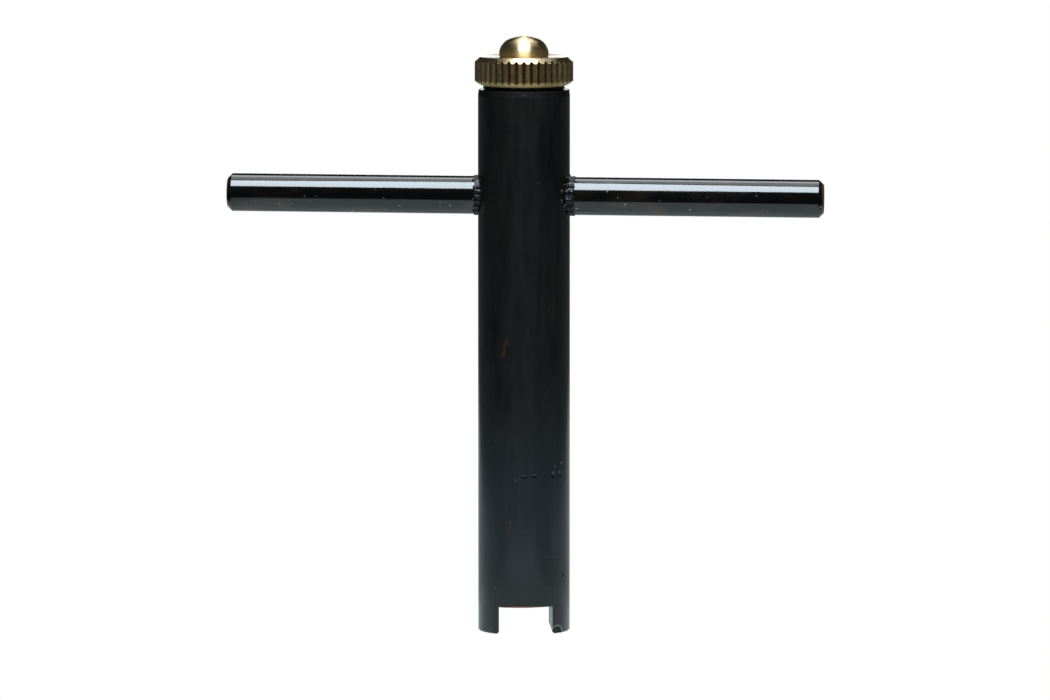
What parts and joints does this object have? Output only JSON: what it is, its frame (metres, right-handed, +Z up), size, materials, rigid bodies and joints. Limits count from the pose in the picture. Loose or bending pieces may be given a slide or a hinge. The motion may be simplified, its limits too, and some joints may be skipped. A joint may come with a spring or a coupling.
{
  "type": "t-handle slotted tube wrench",
  "caption": "Blackened steel T-handle tube wrench with a slotted two-prong working end and a knurled brass cap knob that unscrews to draw out a stored pick.",
  "frame": {"origin": "on the tube's axis, in the plane of the two prong tips at the working end", "axes": "+Z up the tube's axis towards the brass knob, +X along the right-hand half of the cross bar, -Y the side seen in front"},
  "size_m": [0.0976, 0.016, 0.0974],
  "materials": {
    "black_steel": "black oxide, satin",
    "black_bar": "black oxide, glossy drawn bar",
    "weld_metal": "blackened weld bead, rough and glossy",
    "brass": "turned and knurled, bright",
    "black_rubber": "matt",
    "bright_steel": "bright drawn wire"
  },
  "bodies": {
    "barrel": {"barrel": "black_steel", "cross_bar": "black_bar", "left_weld": "weld_metal", "right_weld": "weld_metal"},
    "o_ring": {"o_ring": "black_rubber"},
    "pick": {"pick": "bright_steel"},
    "knob": {"knob": "brass"}
  },
  "joints": [
    {"name": "knob_draw", "type": "slide", "parent": "barrel", "child": "o_ring", "axis": [0, 0, 1], "range_m": [0, 0.05]},
    {"name": "knob_lift", "type": "slide", "parent": "o_ring", "child": "pick", "axis": [0, 0, 1], "range_m": [0, 0.008]},
    {"name": "knob_turn", "type": "hinge", "parent": "pick", "child": "knob", "pos_m": [0, 0, 0.091], "axis": [0, 0, 1], "range_deg": [0, 2880]}
  ],
  "couplings": [
    {"joint": "knob_lift", "follows": "knob_turn", "m_per_rad": 0.00015915}
  ]
}
